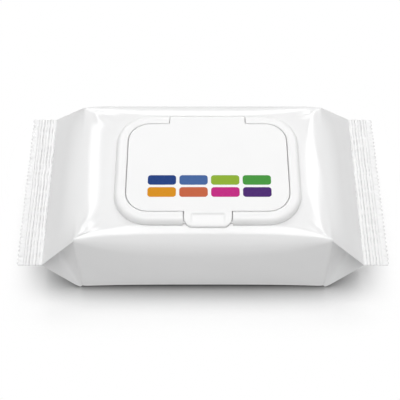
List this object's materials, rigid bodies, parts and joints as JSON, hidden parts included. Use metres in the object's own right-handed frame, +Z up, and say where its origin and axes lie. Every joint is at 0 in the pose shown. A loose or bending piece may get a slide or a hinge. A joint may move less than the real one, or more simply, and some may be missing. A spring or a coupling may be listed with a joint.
{
  "type": "wet wipes pack",
  "caption": "Soft flow-wrapped film pouch of folded wet wipes, with gusset-tucked crimped ends and a moulded cap whose hinged flip lid covers the dispensing mouth.",
  "frame": {"origin": "bottom centre of the pack, on the surface it lies on", "axes": "+X along the pack between the crimped ends, +Z up through the lid, -Y towards the thumb tab"},
  "size_m": [0.23, 0.1146, 0.0634],
  "materials": {
    "film": "glossy white laminate film",
    "cap": "satin white moulded polypropylene",
    "wipes": "damp white non-woven",
    "glue": "hot-melt adhesive"
  },
  "bodies": {
    "pack": {"film_pouch": "film", "wipes_stack": "wipes", "top_wipe": "wipes", "adhesive_ring": "glue", "lid_frame": "cap"},
    "lid": {"lid": "cap"}
  },
  "joints": [
    {"name": "lid_hinge", "type": "hinge", "parent": "pack", "child": "lid", "pos_m": [0.003, 0.0396, 0.06273], "axis": [-1, 0, 0], "range_deg": [0, 160]}
  ]
}
